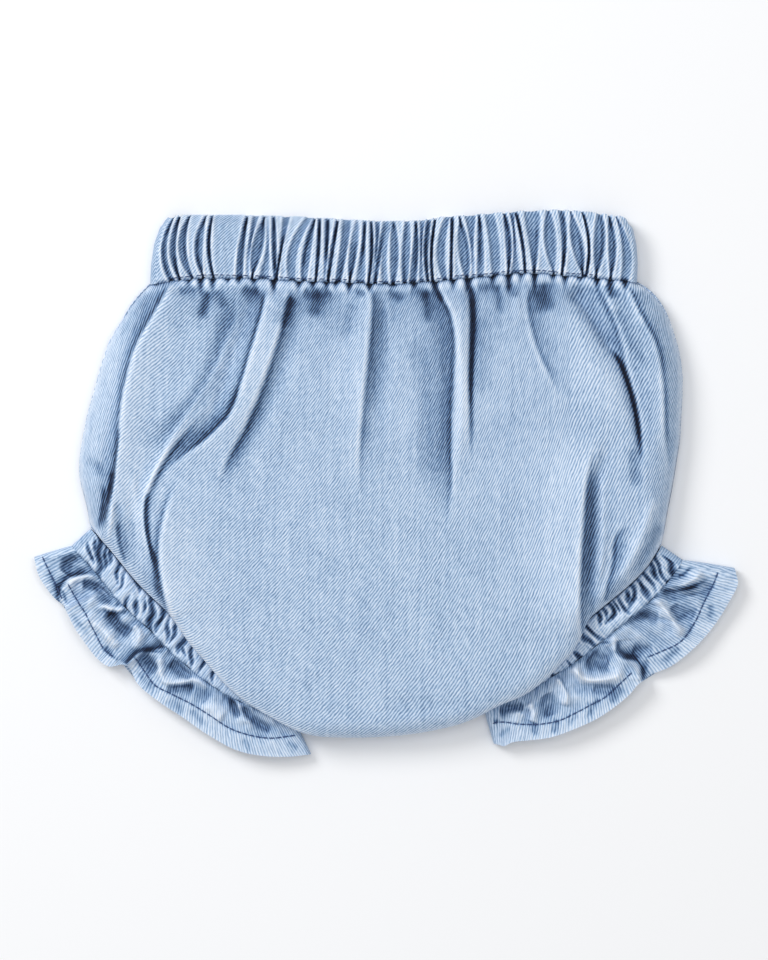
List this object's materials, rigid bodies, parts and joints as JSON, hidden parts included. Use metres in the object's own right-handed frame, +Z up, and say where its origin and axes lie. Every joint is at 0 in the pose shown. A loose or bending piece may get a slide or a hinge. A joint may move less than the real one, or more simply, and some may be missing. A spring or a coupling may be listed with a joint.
{
  "type": "baby bloomers",
  "caption": "Baby bloomers of light washed denim laid flat: gathered waistband, full round body and ruffled, shirred leg openings.",
  "frame": {"origin": "on the table under the middle of the laid garment's outline", "axes": "+X to the picture's right across the garment, +Y toward the waist, +Z up from the table"},
  "size_m": [0.2764, 0.2149, 0.0189],
  "materials": {
    "back_panel": "soft washed denim",
    "front_panel": "soft washed denim",
    "leg_band_left": "soft washed denim",
    "leg_band_right": "soft washed denim",
    "leg_ruffle_left": "soft washed denim",
    "leg_ruffle_right": "soft washed denim",
    "waistband": "soft washed denim"
  },
  "bodies": {
    "root": {"back_panel": "back_panel", "front_panel": "front_panel", "leg_band_left": "leg_band_left", "leg_band_right": "leg_band_right", "leg_ruffle_left": "leg_ruffle_left", "leg_ruffle_right": "leg_ruffle_right", "waistband": "waistband"}
  },
  "joints": []
}
